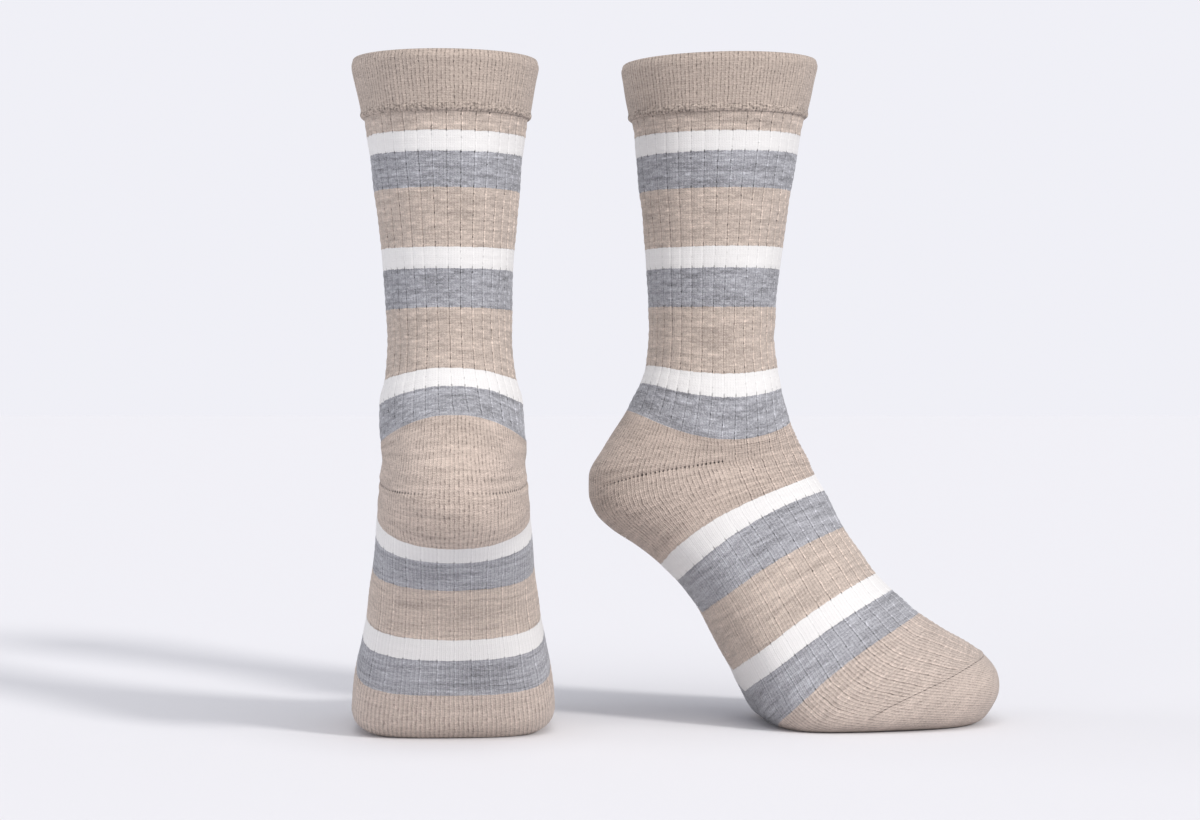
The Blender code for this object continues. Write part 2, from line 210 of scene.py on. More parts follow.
def formRings(sock, stations, turns):  # points of the sock's form, one ring for each station
    heelEnds = [stationOf("heelTop"), stationOf("footTop")]
    wanted = np.concatenate([np.asarray(stations, float), heelEnds])
    rows = easedRows(wanted, sock["bow"])
    slid = np.interp(wanted, backStations, backRun) - rows[:, 8] * sock["heelSlip"]
    halves = [halfOutline(sock, row, at) for row, at in zip(rows, slid)]
    # the instep keeps its width past the heel, whose own columns spread
    instep = np.interp(wanted, heelEnds, [halves[-2][1][-1], halves[-1][1][-1]])
    folded, mirror = foldedTurns(turns), np.where(turns > 0.5, -1.0, 1.0)
    rings = np.empty((len(stations), len(turns), 3))
    for at, (outline, run, aside) in enumerate(halves[:-2]):
        whole = run[-1]
        inHeel = heelEnds[0] < wanted[at] < heelEnds[1]
        front = 0.5 * instep[at] if inHeel else 0.5 * whole
        place = np.where(folded < 0.25, folded * 4.0 * (whole - front), whole - (0.5 - folded) * 4.0 * front)
        for k in range(3):
            rings[at, :, k] = np.interp(place, run, outline[:, k])
        rings[at, :, 1] = rings[at, :, 1] * mirror + aside
    return rings


def outwardOf(rings):  # unit vectors out of a grid of rings
    down = np.gradient(rings, axis=0)
    across = (np.roll(rings, -1, axis=1) - np.roll(rings, 1, axis=1)) / 2
    normal = np.cross(-down, across)
    return normal / np.linalg.norm(normal, axis=2, keepdims=True)


def courseShift(sock, stations, turns):  # how far the knitting's lines are drawn along the form
    names = list(sock["courses"])
    places = [stationOf(name) for name in names]
    shifts = np.array([sock["courses"][name] for name in names])
    allRound, atSides = (np.interp(stations, places, shifts[:, k]) for k in (0, 1))
    return allRound[:, None] + np.outer(atSides, np.sin(2.0 * math.pi * foldedTurns(turns)))


def formWithNormals(sock, stations, turns):  # points and outward vectors where courses meet columns
    stations, turns = np.asarray(stations, float), np.asarray(turns, float)
    on = stations[:, None] + courseShift(sock, stations, turns)
    past = 2.0 * ringSpacing
    fine = np.arange(on.min() - past, min(on.max() + past, rowStations[-1] + ringSpacing / 2), ringSpacing)
    rings = formRings(sock, fine, turns)
    both = np.concatenate([rings, outwardOf(rings)], axis=2)
    made = np.empty(on.shape + (6,))
    for column, k in np.ndindex(len(turns), 6):
        made[:, column, k] = np.interp(on[:, column], fine, both[:, column, k])
    points, normals = made[..., :3], made[..., 3:]
    return points, normals / np.linalg.norm(normals, axis=2, keepdims=True)


def smoothStep(value, low, high):
    t = np.clip((value - low) / (high - low), 0.0, 1.0)
    return t * t * (3.0 - 2.0 * t)


def bellAt(value, middle, width):
    return np.exp(-(((value - middle) / width) ** 2))


def foldedTurns(turns):  # 0 at the back or sole, 0.5 at the front
    return np.minimum(turns % 1.0, 1.0 - turns % 1.0)


# The knit, with its relief in millimetres off the form.
ribKnit = {
    "ribs": 36,
    "wales": 144,  # stitch columns round the tube, four to a rib
    "channelDepth": 0.32,
    "channelShare": 0.10,  # of a rib's width
    "crown": 0.24,  # how far a rib rounds over
    "whiteRelief": 0.45,  # share of the relief in the white stripes, whose yarn is fuller
    "whiteStarts": (-0.5, 1.5),  # it sets in over this stretch past the change of yarn
    "edge": 0.05,  # height of the lip beside a channel
    "edgeAt": 0.15,
    "edgeShare": 0.05,
    "waffle": 0.24,  # depth of the soft bars across the ribs
    "wafflePitch": 4.4,
    "course": 1.15,  # height of one row of stitches
    "underFoot": 0.4,  # share of the relief that is left under the sole
}
ribPhases = (0.0, 0.045, 0.10, 0.18, 0.33, 0.5, 0.67, 0.82, 0.90, 0.955)  # columns of points in a rib
ribTurns = np.add.outer(np.arange(ribKnit["ribs"]), ribPhases).ravel() / ribKnit["ribs"]
ribFolded = foldedTurns(ribTurns)


def ribRelief(stations):
    phase = (ribTurns * ribKnit["ribs"]) % 1.0
    near = np.minimum(phase, 1.0 - phase)
    groove = bellAt(near, 0.0, ribKnit["channelShare"])
    edge = bellAt(near, ribKnit["edgeAt"], ribKnit["edgeShare"])
    crown = 1.0 - np.sin(math.pi * phase) ** 0.7
    profile = ribKnit["edge"] * edge - ribKnit["channelDepth"] * groove - ribKnit["crown"] * crown
    bars = 0.5 - 0.5 * np.cos(2.0 * math.pi * stations / ribKnit["wafflePitch"])
    pillow = np.sin(math.pi * phase) ** 0.6
    return profile[None, :] - ribKnit["waffle"] * bars[:, None] * pillow[None, :]


uneven = {
    "waves": 9,
    "mostRound": 9,  # waves round the tube stay under this
    "pitches": (18.0, 70.0),
    "calm": 5.0,  # still over this length at both ends, so that neighbours meet
}


def unevenHand(turns, stations, seed, amount):  # slow swells, so that no length is machined true
    chance = np.random.default_rng(seed)
    total = np.zeros((len(stations), len(turns)))
    for _ in range(uneven["waves"]):
        waves = chance.integers(1, uneven["mostRound"])
        pitch = chance.uniform(*uneven["pitches"])
        phases = chance.uniform(0.0, 2.0 * math.pi, 2)
        total += np.outer(
            np.sin(2.0 * math.pi * stations / pitch + phases[0]),
            np.sin(2.0 * math.pi * waves * turns + phases[1]),
        )
    first, last = stations[0], stations[-1]
    calm = smoothStep(stations, first, first + uneven["calm"])
    calm = calm * (1.0 - smoothStep(stations, last - uneven["calm"], last))
    return total * calm[:, None] * amount / math.sqrt(uneven["waves"])


def stripeFullness(stations, stripes):  # the white yarn fills its channels
    share = np.ones(len(stations))
    for (row, yarn), (following, _) in zip(stripes, stripes[1:]):
        if yarn == "white":
            inWhite, past = (
                smoothStep(stations - stationOf(at), *ribKnit["whiteStarts"]) for at in (row, following)
            )
            share -= (1.0 - ribKnit["whiteRelief"]) * inWhite * (1.0 - past)
    return share[:, None]


# Soft creases of the drawn-on cloth: row, millimetres past it, turn, length in turns, width, depth.
ankleCreases = (
    ("beige3", 9.0, 0.44, 0.070, 2.6, 0.40),
    ("ankle", 1.0, 0.56, 0.085, 3.0, 0.50),
    ("ankle", 9.0, 0.49, 0.060, 2.4, 0.42),
    ("white3", 4.0, 0.40, 0.055, 2.8, 0.35),
    ("grey3", 5.0, 0.58, 0.060, 3.2, 0.40),
    ("ankle", -4.0, 0.05, 0.060, 2.6, 0.30),
    ("white3", 2.0, 0.93, 0.070, 3.0, 0.35),
)
creaseSlant = 10.0  # millimetres down the sock for a whole turn


def creaseRelief(stations, creases):
    total = np.zeros((len(stations), len(ribTurns)))
    for row, past, turn, reach, width, depth in creases:
        away = np.abs((ribTurns - turn + 0.5) % 1.0 - 0.5)
        slanted = stations[:, None] - creaseSlant * (ribTurns - turn)[None, :]
        bell = bellAt(slanted, stationOf(row) + past, width)
        total -= depth * np.exp(-((away / reach) ** 2))[None, :] * bell
    return total


ribLimits = {  # in turns from the sole's middle
    "instep": (0.258, 0.276),
    "toe": 0.13,
    "toeNarrows": 0.08,  # the toe's limit moves up by this much over a length in millimetres
    "narrowsOver": 26.0,
    "toeFade": 0.03,
}
overInstep = smoothStep(ribFolded, *ribLimits["instep"])[None, :]  # 1 where the heel and toe keep their ribs


def toeRibs(past):  # the ribs run on over the toe and give way to plain knit round the sole
    low = ribLimits["toe"] + ribLimits["toeNarrows"] * smoothStep(past, 0.0, ribLimits["narrowsOver"])
    return smoothStep(ribFolded[None, :], low[:, None], low[:, None] + ribLimits["toeFade"])


def spacedStations(first, last, pitch, extra=()):
    count = max(2, int(round((last - first) / pitch)))
    stations = np.linspace(first, last, count + 1)
    for station in extra:  # a row is moved onto each place that has to be met exactly
        stations[np.argmin(np.abs(stations - station))] = station
    return stations


def intoPair(sock, points):  # from a sock's own millimetres to metres in the pair's frame
    turn = math.radians(sock["turn"])
    u, v, z = points[..., 0], points[..., 1], points[..., 2]
    x = sock["at"][0] + (u * math.cos(turn) - v * math.sin(turn)) * mm
    y = sock["at"][1] + (u * math.sin(turn) + v * math.cos(turn)) * mm
    return np.stack([x, y, z * mm], axis=-1)


def cornersOf(upper, lower):  # of each face between two grids
    return [upper, np.roll(upper, -1, axis=1), np.roll(lower, -1, axis=1), lower]


def addAttribute(mesh, name, values):  # a number or a vector for each point
    values = np.asarray(values, np.float32)
    kind, field = ("FLOAT", "value") if values.ndim == 1 else ("FLOAT_VECTOR", "vector")
    mesh.attributes.new(name, kind, "POINT").data.foreach_set(field, values.ravel())


yarnRadius = 33.0  # the heather's streaks are laid on a tube of this radius, so they have no seam
sharpFrom = 55.0  # the cut ends stay crisp


def knitShell(name, sock, outer, inner, tips=None):  # one closed piece from its two skins
    wales = ribKnit["wales"]
    points, grids, faces = [], [], []
    corners = []  # each face corner's place in the knit: its wale and its course
    start = 0
    for skin, order in ((outer, 1), (inner, -1)):
        rows, columns = skin["points"].shape[:2]
        index = start + np.arange(rows * columns).reshape(rows, columns)
        upper, lower = skin["courses"]  # each face row has its own upper and lower courses
        here = skin["turns"] * wales
        ahead = np.append(here[1:], wales)
        across = [np.broadcast_to(wale, upper.shape) for wale in (here, ahead, ahead, here)]
        quads, wale, course = (
            np.stack(four, axis=-1).reshape(-1, 4)[:, ::order]
            for four in (cornersOf(index[:-1], index[1:]), across, cornersOf(upper, lower))
        )
        points.append(skin["points"].reshape(-1, 3))
        faces.append(quads)
        corners.append(np.stack([wale, course], axis=-1))
        grids.append(index)
        start += rows * columns
    rims = []

    def closeEnd(row, course, order):  # joins the first or last rings of both skins
        outerRing, innerRing = (np.append(grid[row], grid[row, 0]).tolist() for grid in grids)
        along = np.append(outer["turns"], 1.0) * wales
        per = len(outer["turns"]) // len(inner["turns"])
        for column in range(len(inner["turns"])):
            at = slice(column * per, column * per + per + 1)
            ring = outerRing[at] + [innerRing[column + 1], innerRing[column]]
            uv = [(wale, course) for wale in along[at]]
            uv += [(uv[-1][0], course + 2.0), (uv[0][0], course + 2.0)]
            rims.append((ring[::order], uv[::order]))

    closeEnd(0, outer["courses"][0][0, 0], -1)
    if tips is None:
        closeEnd(-1, outer["courses"][1][-1, 0], 1)
    else:
        for skin, grid, tip, order in zip((outer, inner), grids, tips, (1, -1)):
            points.append(np.array([tip], float))
            course, ends = skin["courses"][1][-1, 0], np.append(grid[-1], grid[-1, 0]).tolist()
            for column, wale in enumerate(skin["turns"] * wales):
                uv = [(wale, course), (wale + wales / len(skin["turns"]), course), (wale, course + 1.0)]
                rims.append(([*ends[column:column + 2], start][::order], uv[::order]))
            start += 1
    points = intoPair(sock, np.concatenate(points))

    mesh = bpy.data.meshes.new(name)
    mesh.from_pydata(points.tolist(), [], np.concatenate(faces).tolist() + [ring for ring, _ in rims])
    uv = np.concatenate([grid.reshape(-1, 2) for grid in corners] + [np.array(uv) for _, uv in rims])
    layer = mesh.uv_layers.new(name="knit")
    layer.data.foreach_set("uv", uv.astype(np.float32).ravel())
    slots = np.concatenate([np.zeros(len(faces[0])), np.ones(len(faces[1])), np.zeros(len(rims))])
    mesh.polygons.foreach_set("material_index", slots.astype(np.int32))

    yarn = []  # each point's place round and down the tube, for the heather's streaks
    for skin in (outer, inner):
        angle = 2.0 * math.pi * skin["turns"]
        place = np.empty(skin["points"].shape)
        place[..., 0], place[..., 1] = yarnRadius * np.cos(angle), yarnRadius * np.sin(angle)
        place[..., 2] = skin["stations"][:, None]
        yarn.append(place.reshape(-1, 3))
    extra = len(points) - sum(len(place) for place in yarn)
    yarn.append(np.tile([[0.0, 0.0, outer["stations"][-1]]], (extra, 1)))
    addAttribute(mesh, "yarn", np.concatenate(yarn))
    for key in ("rib", "seamAway", "seamShow"):
        values = [skin[key].ravel() for skin in (outer, inner)]
        addAttribute(mesh, key, np.concatenate(values + [np.zeros(extra)]))
    mesh.update()
    mesh.shade_smooth()
    mesh.set_sharp_from_angle(angle=math.radians(sharpFrom))
    return putObject(name, mesh)


noSeam = 20.0  # farther from a seam than any hole or line reaches


def skinOf(points, turns, stations, rib, lowest=0.0, **shown):  # one face of a shell and what shows on it
    points[..., 2] = np.maximum(points[..., 2], lowest)  # clear of the floor
    zeros = np.zeros(points.shape[:2])
    grid = np.broadcast_to(np.asarray(stations, float)[:, None], zeros.shape)
    plain = {"courses": (grid[:-1], grid[1:]), "seamAway": zeros + noSeam, "seamShow": zeros}
    return {"points": points, "turns": turns, "stations": stations, "rib": zeros + rib, **plain, **shown}


def liningSkin(sock, first, last, details):  # the plain inner face
    stations = spacedStations(first, last, details["pitchInside"])
    turns = np.arange(details["columnsInside"]) / details["columnsInside"]
    rings, normals = formWithNormals(sock, stations, turns)
    return skinOf(rings - normals * details["wall"], turns, stations, 1.0, lowest=details["wall"])


def runDown(rings):  # true distance down each column of points
    steps = np.linalg.norm(np.diff(rings, axis=0), axis=2)
    return np.concatenate([np.zeros((1, steps.shape[1])), np.cumsum(steps, axis=0)])


def flatCut(rings):  # the tube laid flat: its widest round, its longest run and its true area, in metres
    around = np.linalg.norm(rings - np.roll(rings, 1, axis=1), axis=2).sum(axis=1)
    downwards = np.linalg.norm(np.diff(rings, axis=0), axis=2).sum(axis=0)
    a = rings[1:] - rings[:-1]
    b = np.roll(rings, -1, axis=1)[:-1] - rings[:-1]
    area = np.linalg.norm(np.cross(a, b), axis=2).sum()
    width, length = around.max() * mm, downwards.max() * mm
    return (round(width, 4), round(length, 4)), round(min(area * mm * mm, width * length), 6)


def yarnColour(*levels):  # linear colour of a yarn given on the usual 0 to 255 scale
    shares = [level / 255 for level in levels]
    return [s / 12.92 if s <= 0.04045 else ((s + 0.055) / 1.055) ** 2.4 for s in shares]


yarns = {  # colour, and how much of the heather shows in it
    "cuff": (yarnColour(171, 157, 147), 0.8),
    "beige": (yarnColour(180, 166, 156), 1.1),
    "white": (yarnColour(214, 212, 211), 0.10),
    "grey": (yarnColour(150, 150, 155), 1.7),
    "heel": (yarnColour(177, 162, 152), 0.85),
    "toe": (yarnColour(179, 165, 156), 0.8),
}


def startMaterial(name):
    material = bpy.data.materials.new(name)
    material.use_nodes = True
    nodes = material.node_tree.nodes
    links = material.node_tree.links

    def plug(socket, value):
        if isinstance(value, bpy.types.NodeSocket):
            links.new(value, socket)
        elif value is not None:
            socket.default_value = value

    def node(kind, *values, **settings):
        made = nodes.new("ShaderNode" + kind)
        for key, value in settings.items():
            setattr(made, key, value)
        for socket, value in zip(made.inputs, values):
            plug(socket, value)
        return made

    def calc(operation, *values):
        return node("Math", *values, operation=operation).outputs[0]

    return material, nodes["Principled BSDF"], plug, node, calc


grain = {  # how fast each chance pattern changes round and down the tube
    "wander": (0.16, 0.16, 0.22),
    "longStreaks": (0.045, 0.045, 0.38),
    "shortStreaks": (0.34, 0.34, 1.7),
    "fleck": (1.5, 1.5, 2.6),
    "curl": (0.42, 0.42, 0.62),
    "channel": (0.25, 0.25, 0.75),
    "edge": (0.25, 0.25, 0.9),
    "cells": (0.3, 0.3, 0.8),
    "loops": (0.85, 0.85, 1.0),
    "fuzz": (3.1, 3.1, 3.1),
    "slit": (1.0, 1.0, 1.0),
}
streakDetail = {"longStreaks": 4.0, "shortStreaks": 2.0, "fleck": 1.0}
cloth = {
    "slant": 0.9,  # how far a stitch's legs lean
    "stitchTooth": 0.25,  # how far a stripe's edge steps with each stitch, and with its tension
    "tensionTooth": 0.35,
    "lastStripe": 60.0,  # room for the last stripe on the ramp
    "paleDark": 0.16,  # share of the painted shade and highlights in the knit that shows in pale yarn
    "paleHeight": 0.35,
    "hole": 2.1,  # millimetres from one hole to the next
    "hemFrom": 4.6,  # the rolled hem begins this far above its end
    "insideShade": 0.9,
    "bumpStrength": 0.9,
    "roughness": (0.97, 0.86),  # in the gaps and on the stitches
    "specular": 0.22,
    "sheen": 0.15,
    "sheenRoughness": 0.45,
}


def knitMaterial(name, stripes, finish, inside=False):  # stripes: station and yarn, from the top down
    material, shader, plug, node, calc = startMaterial(name)

    def stack(total, *terms):
        for term in terms:
            total = calc("ADD", total, term)
        return total

    def times(*terms):
        total = terms[0]
        for term in terms[1:]:
            total = calc("MULTIPLY", total, term)
        return total

    def less(value, taken):
        return calc("SUBTRACT", value, taken)

    def ease(value, low, high, toLow=0.0, toHigh=1.0):
        return node("MapRange", value, low, high, toLow, toHigh).outputs[0]

    def chanceOf(*numbers):
        white = node("TexWhiteNoise", noise_dimensions="2D")
        plug(white.inputs["Vector"], node("CombineXYZ", *numbers).outputs[0])
        return white.outputs["Value"]

    def attribute(name):
        return node("Attribute", attribute_name=name).outputs

    yarnPlace = attribute("yarn")["Vector"]

    def noiseAt(kind, detail=1.0, place=yarnPlace):
        noise = node("TexNoise", noise_dimensions="3D")
        plug(noise.inputs["Vector"], node("VectorMath", place, grain[kind], operation="MULTIPLY").outputs[0])
        noise.inputs["Scale"].default_value = 1.0
        noise.inputs["Detail"].default_value = detail
        noise.inputs["Roughness"].default_value = 0.6
        return times(less(noise.outputs[0], 0.5), 2.0)

    def fromHalf(value):  # 0 in the middle of each step, 0.5 at its ends
        return calc("ABSOLUTE", less(calc("FRACT", value), 0.5))

    ribMask, seamAway, seamShow = (attribute(key)["Fac"] for key in ("rib", "seamAway", "seamShow"))
    station = node("SeparateXYZ", yarnPlace).outputs[2]
    split = node("SeparateXYZ", node("UVMap", uv_map="knit").outputs[0]).outputs
    course = split[1]
    # the columns of stitches wander a little
    wale = stack(split[0], times(noiseAt("wander", 2.0), finish["wander"]))

    # one stitch: two slanting legs in each wale, stacked a course apart
    fromMiddle = fromHalf(wale)
    legs = calc("SINE", times(fromMiddle, 2.0 * math.pi))
    courseStep = calc("DIVIDE", course, ribKnit["course"])
    slanted = times(fromMiddle, -cloth["slant"] if inside else cloth["slant"])
    rise = calc("SINE", times(calc("FRACT", stack(courseStep, slanted)), math.pi))
    stitch = stack(times(legs, 0.6), times(rise, 0.4))
    gapNumber = calc("FLOOR", stack(wale, 0.5))
    tension = less(chanceOf(calc("FLOOR", wale), 3.0, 0.0), 0.5)

    # stripes change on a course, so their edges have a tooth for each stitch
    tooth = stack(station, times(fromMiddle, cloth["stitchTooth"]), times(tension, cloth["tensionTooth"]))
    first, last = stripes[0][0], stripes[-1][0] + cloth["lastStripe"]
    ramp = node("ValToRGB")
    plug(ramp.inputs[0], calc("DIVIDE", less(tooth, first), last - first))
    ramp.color_ramp.interpolation = "CONSTANT"
    stops = ramp.color_ramp.elements
    stops.remove(stops[1])
    for at, (start, yarn) in enumerate(stripes):
        place = (start - first) / (last - first)
        stop = stops.new(place) if at else stops[0]
        colour, heather = yarns[yarn]
        stop.position, stop.color = place, (*colour, heather / 2.0)
    heather = times(ramp.outputs[1], 2.0)
    depth = ease(heather, 0.0, 1.0, cloth["paleDark"], 1.0)

    # the heather's streaks run round the tube with the courses
    longStreaks, shortStreaks, fleck = (
        times(noiseAt(kind, detail), share)
        for (kind, detail), share in zip(streakDetail.items(), finish["streaks"])
    )
    # light fibres that curl over the face of the knit
    fibres = ease(calc("ABSOLUTE", noiseAt("curl")), 0.10, 0.0)
    shade = stack(longStreaks, shortStreaks, fleck, times(fibres, finish["fibres"]))
    shade = times(shade, heather)
    column = calc("COSINE", times(fromMiddle, 2.0 * math.pi))
    shade = stack(shade, times(column, finish["column"], depth), times(rise, finish["rise"], depth))

    # painted shade in the slits between the wales, longer and shorter by chance
    gap = ease(fromMiddle, 0.5 - finish["slitWidth"], 0.5)
    slitAcross = times(gapNumber, 7.31)  # far enough apart that neighbours differ
    slitPlace = node("CombineXYZ", slitAcross, 0.0, times(course, finish["slitPitch"])).outputs[0]
    slitShade = ease(noiseAt("slit", 1.0, slitPlace), finish["slitFrom"], finish["slitFrom"] + 0.35)
    dark = times(gap, slitShade, finish["slitShade"])
    height, joinDots = stitch, 0.0
    if not inside:
        # the channel between ribs: a thin line of painted shade with small holes, and a painted highlight
        # along one side of it
        rib = calc("DIVIDE", wale, finish["walesInRib"])
        ribPlace = calc("FRACT", rib)
        near = calc("MINIMUM", ribPlace, less(1.0, ribPlace))
        ribNumber = calc("FLOOR", stack(rib, 0.5))
        dashStep = stack(calc("DIVIDE", course, finish["dashPitch"]), chanceOf(ribNumber, 1.0, 0.0))
        dashChance = chanceOf(ribNumber, calc("FLOOR", dashStep), 0.0)
        fromDash = fromHalf(dashStep)
        dashHalf = stack(times(dashChance, 0.35), 0.02)
        dashes = times(ease(less(times(fromDash, finish["dashPitch"]), dashHalf), 0.25, -0.25),
                       ease(near, 0.06, 0.02), ease(dashChance, 0.2, 0.9))
        broken = ease(noiseAt("channel", 2.0), -0.25, 0.35, 0.3, 1.0)
        channel = times(ease(near, 0.055, 0.01), broken)
        edge = times(ease(ribPlace, 0.85, 0.91), ease(ribPlace, 0.99, 0.94),
                     ease(noiseAt("edge", 2.0), -0.25, 0.3))
        dark = stack(dark, times(channel, finish["channel"], ribMask),
                     times(dashes, finish["dashes"], ribMask), times(edge, -finish["edge"], ribMask))
        # a small hole wherever a channel meets a change of yarn
        dots = 0.0
        for start, _ in stripes[1:]:
            away = calc("ABSOLUTE", less(station, start))
            dots = calc("MAXIMUM", dots, ease(away, 0.9, 0.35))
        joinDots = times(dots, ease(near, 0.07, 0.03), ribMask)
        # soft cells across each rib, stepped from one rib to the next: painted light on the raised lines
        # between them and painted shade in their middles
        barStep = stack(calc("DIVIDE", course, finish["cell"]), times(ribNumber, 0.5))
        cells = times(ease(fromHalf(barStep), 0.30, 0.47), ease(noiseAt("cells"), -0.3, 0.3))
        shade = stack(shade, times(less(cells, 0.25), ribMask, heather, finish["bars"]))
        height = stack(height, times(dashes, ribMask, -1.6), times(channel, ribMask, -0.25),
                       times(cells, ribMask, 0.3))

    if "hem" in finish and not inside:  # the rolled hem is all small round loops, with painted shade between them and a painted highlight on their tops
        hemStart = stationOf("cuffEnd") - cloth["hemFrom"]
        onHem = ease(station, hemStart, hemStart + 1.0)
        loops = noiseAt("loops")
        dark = stack(dark, times(ease(loops, 0.02, 0.30), onHem, finish["hem"]),
                     times(ease(loops, -0.05, -0.3), onHem, -0.18))
        height = stack(height, times(loops, onHem, -1.8))

    # holes along a gore or a linked edge, one in each gap between wales
    holeAlong = times(less(0.5, fromMiddle), cloth["hole"])
    holeAway = calc("SQRT", stack(times(seamAway, seamAway), times(holeAlong, holeAlong)))
    holeSize = stack(times(chanceOf(gapNumber, 5.0, 0.0), 0.25), finish["holeSize"])
    holes = times(ease(less(holeAway, holeSize), 0.25, -0.25), seamShow)
    seamLine = times(ease(calc("ABSOLUTE", seamAway), 0.6, 0.15), seamShow)
    dark = stack(times(dark, depth), times(joinDots, finish["joinDots"]),
                 times(holes, finish["holes"]), times(seamLine, finish["seamLine"]))
    height = less(height, times(holes, 2.0))
    light = times(stack(1.0, shade), less(1.0, dark))
    if inside:
        light = times(light, cloth["insideShade"])
    tinted = node("VectorMath", ramp.outputs[0], operation="SCALE")
    plug(tinted.inputs["Scale"], light)
    plug(shader.inputs["Base Color"], tinted.outputs[0])

    height = stack(height, times(noiseAt("fuzz", 2.0), 0.35))
    height = times(height, ease(heather, 0.0, 1.0, cloth["paleHeight"], 1.0))
    bump = node("Bump")
    bump.inputs["Strength"].default_value = cloth["bumpStrength"]
    bump.inputs["Distance"].default_value = finish["bump"]
    plug(bump.inputs["Height"], height)
    plug(shader.inputs["Normal"], bump.outputs[0])
    plug(shader.inputs["Roughness"], ease(stitch, 0.0, 1.0, *cloth["roughness"]))
    shader.inputs["Specular IOR Level"].default_value = cloth["specular"]
    shader.inputs["Sheen Weight"].default_value = cloth["sheen"]
    shader.inputs["Sheen Roughness"].default_value = cloth["sheenRoughness"]
    return material


ribFinish = {
    "wander": 0.30,  # how far the columns of stitches wander, in wales
    "streaks": (0.46, 0.24, 0.26),  # long, short and flecks
    "column": 0.045, "rise": 0.04,  # shading across and along a stitch
    # the slits' darkness is painted shade in the gaps between the wales
    "slitWidth": 0.14, "slitShade": 0.18, "slitPitch": 0.45, "slitFrom": 0.0,
    # channel: painted shade along the channel; edge: a painted highlight beside it
    "dashPitch": 3.5, "dashes": 0.66, "channel": 0.36, "edge": 0.50, "joinDots": 0.45,
    # bars: strength of the cells' painted light and shade
    "cell": 4.4, "bars": 0.24, "fibres": 0.18,
    "holes": 0.62, "holeSize": 0.28, "seamLine": 0.10, "walesInRib": 4.0, "bump": 0.00030,
}
footFinish = {
    **ribFinish, "column": 0.09, "cell": 2.6, "bars": 0.13,
    "dashPitch": 4.4, "dashes": 0.40, "edge": 0.55,
}
plainFinish = {
    **ribFinish, "wander": 0.38, "streaks": (0.62, 0.34, 0.24), "column": 0.12, "rise": 0.06,
    "slitWidth": 0.26, "slitShade": 0.58, "slitPitch": 0.40, "slitFrom": -0.05,
    "cell": 2.6, "fibres": 0.24, "bump": 0.00036,
}
toeFinish = {
    **plainFinish, "wander": 0.35, "streaks": (0.30, 0.26, 0.24), "column": 0.16, "slitShade": 0.42,
    "cell": 3.0, "bars": 0.34, "dashes": 0.20, "channel": 0.16, "edge": 0.34,
    "holes": 0.40, "holeSize": 0.08, "seamLine": 0.38,
}
cuffFinish = {
    **ribFinish, "walesInRib": 2.0, "wander": 0.35, "streaks": (0.24, 0.22, 0.34), "column": 0.10,
    "slitWidth": 0.22, "slitShade": 0.55, "slitPitch": 0.6, "slitFrom": -0.1,
    "cell": 2.3, "bars": 0.20, "dashPitch": 2.3, "dashes": 0.40, "channel": 0.20, "edge": 0.34,
    # hem: strength of the painted shade between the hem's loops
    "bump": 0.00028, "hem": 0.5,
}


def dressPiece(side, part, slot, sock, skins, finish, cut, tips=None):
    piece = knitShell(side + part.capitalize() + "Knit", sock, *skins, tips)
    for material in finish:
        piece.data.materials.append(material)
    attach(piece, "root")
    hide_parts(side + "_" + part)


cuff = {
    "wall": 2.0, "columns": 576, "pitch": 0.85, "pitchInside": 1.7, "uneven": 0.22,
    "proud": 0.7,  # the doubled cuff lies over the leg
    "fold": 1.5,  # height of the round fold at the rim
    "foldAngles": (78.0, 60.0, 42.0, 24.0), "foldAnglesInside": (84.0, 60.0, 36.0, 14.0),
    "foldStations": np.array([-2.4, -1.8, -1.2, -0.6]),
    "fineRibs": 72, "fineDepth": 0.28,
    "strength": (0.55, 1.25),  # from the weakest to the strongest fine rib
    "roll": 1.3,  # the hem rolls in over this height
    "rollRows": np.array([1.3, 0.9, 0.5, 0.25, 0.1]), "rollEnd": -0.15,
    "hemSwell": 0.55, "hemAt": 1.9, "hemWidth": 1.5,
    "loops": 144,  # round loops along the rolled hem
    "loopHeight": 0.22, "loopPitch": 2.6,
    "shoulder": 4.0,  # the top draws in over this height
    "drawIn": 1.1,
}


def foldOver(ring, normal, rim, angles, facing):  # half the round fold, from outside (1) or inside (-1)
    wall = cuff["wall"]
    rings = []
    for angle in np.radians(angles):
        across = facing * (rim + wall) / 2 * math.cos(angle)
        up = np.array([0, 0, cuff["fold"] * math.sin(angle)])
        rings.append(ring + normal * ((rim - wall) / 2 + across) + up)
    return np.array(rings)


